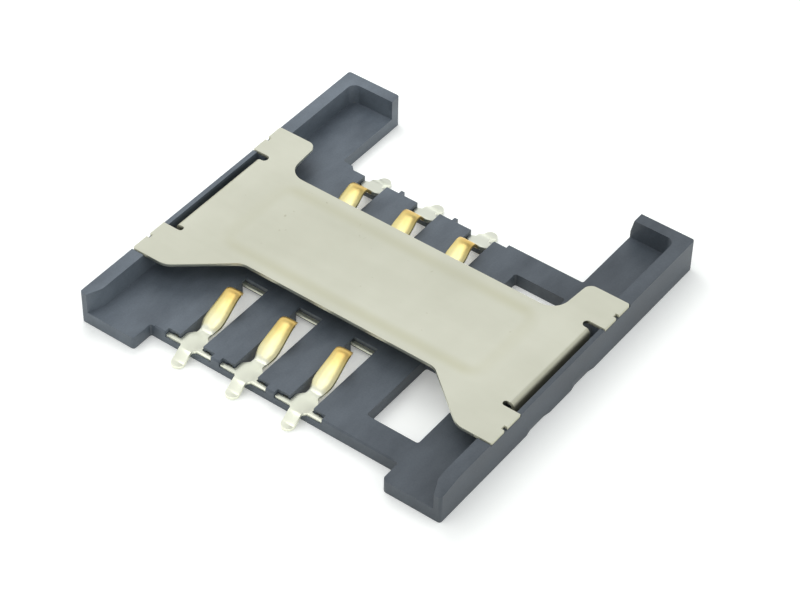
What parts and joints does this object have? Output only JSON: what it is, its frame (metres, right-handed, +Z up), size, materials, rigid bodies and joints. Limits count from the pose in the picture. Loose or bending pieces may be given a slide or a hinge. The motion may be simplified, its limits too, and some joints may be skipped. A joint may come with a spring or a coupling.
{
  "type": "sim card socket",
  "caption": "Low surface-mount card socket: open moulded housing, folded sheet cover over its middle, and sprung contacts in two rows with solder tails.",
  "frame": {"origin": "centre of the footprint, on the underside that lies on the circuit board", "axes": "+Z up from the board, -Y towards the side where the card goes in, +X to the right seen from there"},
  "size_m": [0.0164, 0.0162, 0.0015],
  "materials": {
    "plastic": "fine moulded satin, dark slate grey",
    "nickel": "plain rolled sheet with a warm nickel plate",
    "contact": "gold plate on the springs, pale tin on tails and bodies"
  },
  "bodies": {
    "root": {"housing": "plastic", "cover": "nickel", "front_contact_left": "contact", "front_contact_middle": "contact", "front_contact_right": "contact", "rear_contact_left": "contact", "rear_contact_middle": "contact", "rear_contact_right": "contact"}
  },
  "joints": []
}
